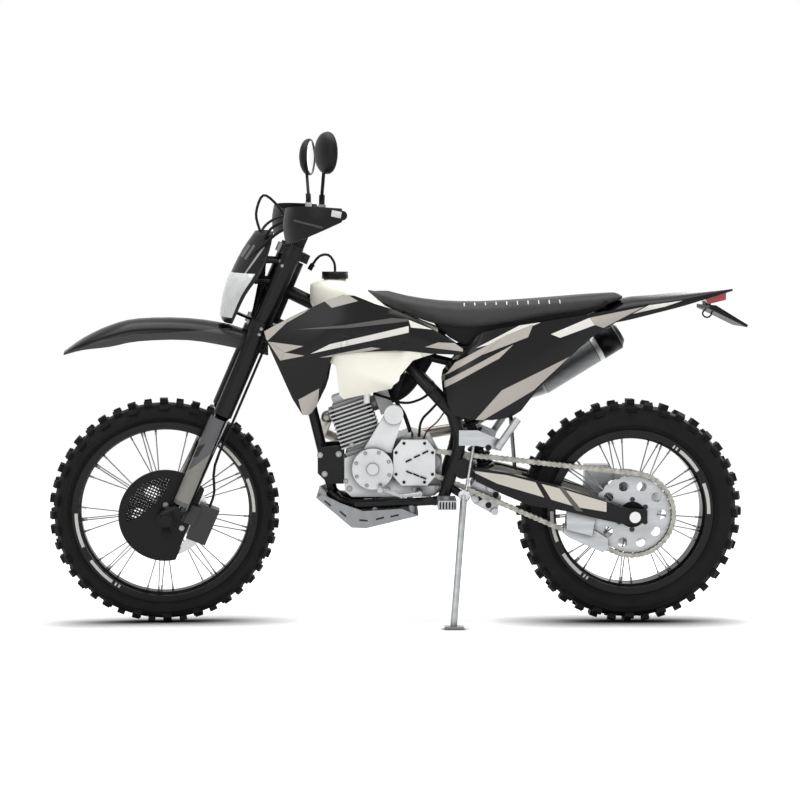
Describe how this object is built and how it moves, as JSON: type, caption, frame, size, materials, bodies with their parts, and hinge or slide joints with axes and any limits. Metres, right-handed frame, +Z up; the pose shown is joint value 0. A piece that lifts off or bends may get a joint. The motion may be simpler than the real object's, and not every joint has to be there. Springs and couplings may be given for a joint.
{
  "type": "motorcycle",
  "caption": "Enduro motorcycle leaning on its side stand: steered fork, wire-spoked wheels with knobbly tyres, finned engine, chain drive, long seat and plastic panels.",
  "frame": {"origin": "On the floor, under the middle of the parked machine's length and width.", "axes": "+X to the front, +Y to its left, +Z up from the floor; the machine leans 8 degrees towards +Y."},
  "size_m": [2.1255, 0.832, 1.5446],
  "materials": {
    "frame_paint": "satin black paint",
    "engine_alloy": "painted cast alloy, satin",
    "pipe_steel": "satin steel",
    "muffler_alloy": "brushed, with a black end cap",
    "tank_plastic": "cream, slightly glossy",
    "black_plastic": "moulded, fine grain",
    "panel_plastic": "black with a fine weave and pale stripes",
    "seat_cover": "grained vinyl with light stitching",
    "lamp_red": "clear red lens",
    "bare_alloy": "bare, satin",
    "axle_steel": "machined",
    "chain_steel": "oiled plates",
    "slider_chrome": "hard chrome",
    "guard_plastic": "grey, moulded",
    "mask_plastic": "dark grey",
    "lens_clear": "clear lens",
    "rubber_black": "soft black rubber",
    "mirror_face": "silvered",
    "caliper_paint": "grey, satin",
    "tyre_rubber": "knobbly tread",
    "rim_black": "black anodised with pale arcs",
    "hub_paint": "dark satin, with steel spokes",
    "disc_steel": "ground"
  },
  "bodies": {
    "chassis": {"main_frame": "frame_paint", "crankcase": "engine_alloy", "cylinder": "engine_alloy", "engine_covers": "engine_alloy", "exhaust_pipe": "pipe_steel", "muffler": "muffler_alloy", "fuel_tank": "tank_plastic", "tank_cap": "black_plastic", "shrouds": "panel_plastic", "seat": "seat_cover", "side_panels": "panel_plastic", "rear_fender": "black_plastic", "tail_light": "lamp_red", "plate_holder": "black_plastic", "skid_plate": "bare_alloy", "footpegs": "bare_alloy", "foot_controls": "bare_alloy", "swingarm": "frame_paint", "rear_axle": "axle_steel", "shock": "frame_paint", "linkage": "bare_alloy", "chain": "chain_steel", "chain_guide": "bare_alloy", "rear_caliper": "bare_alloy", "stand_spring": "axle_steel", "mud_flap": "black_plastic"},
    "steering": {"triple_clamps": "frame_paint", "fork_tubes": "frame_paint", "fork_sliders": "slider_chrome", "fork_guards": "guard_plastic", "front_axle": "axle_steel", "front_fender": "panel_plastic", "headlight_mask": "mask_plastic", "headlight_lens": "lens_clear", "handlebar": "frame_paint", "grips": "rubber_black", "levers": "bare_alloy", "handguards": "black_plastic", "mirrors": "black_plastic", "mirror_glass": "mirror_face", "front_caliper": "caliper_paint", "hoses": "rubber_black", "disc_guard": "black_plastic"},
    "front_wheel": {"front_tyre": "tyre_rubber", "front_rim": "rim_black", "front_hub": "hub_paint", "front_disc": "disc_steel"},
    "rear_wheel": {"rear_tyre": "tyre_rubber", "rear_rim": "rim_black", "rear_hub": "hub_paint", "rear_sprocket": "bare_alloy", "rear_disc": "disc_steel"},
    "side_stand": {"side_stand": "bare_alloy"}
  },
  "joints": [
    {"name": "steering_turn", "type": "hinge", "parent": "chassis", "child": "steering", "pos_m": [0.401, -0.04752, 0.90949], "axis": [-0.3987, 0.1276, 0.9081], "range_deg": [-48, 32]},
    {"name": "front_wheel_spin", "type": "hinge", "parent": "steering", "child": "front_wheel", "pos_m": [0.71346, -0.11808, 0.34649], "axis": [-0.1276, 0.9729, -0.1928], "continuous": true},
    {"name": "rear_wheel_spin", "type": "hinge", "parent": "chassis", "child": "rear_wheel", "pos_m": [-0.717, -0.12665, 0.34642], "axis": [0, 0.9903, -0.1392], "continuous": true},
    {"name": "stand_fold", "type": "hinge", "parent": "chassis", "child": "side_stand", "pos_m": [-0.2, 0.01928, 0.39316], "axis": [0.1279, 0.9843, 0.1213], "range_deg": [0, 98], "deforming": ["stand_spring"]}
  ]
}
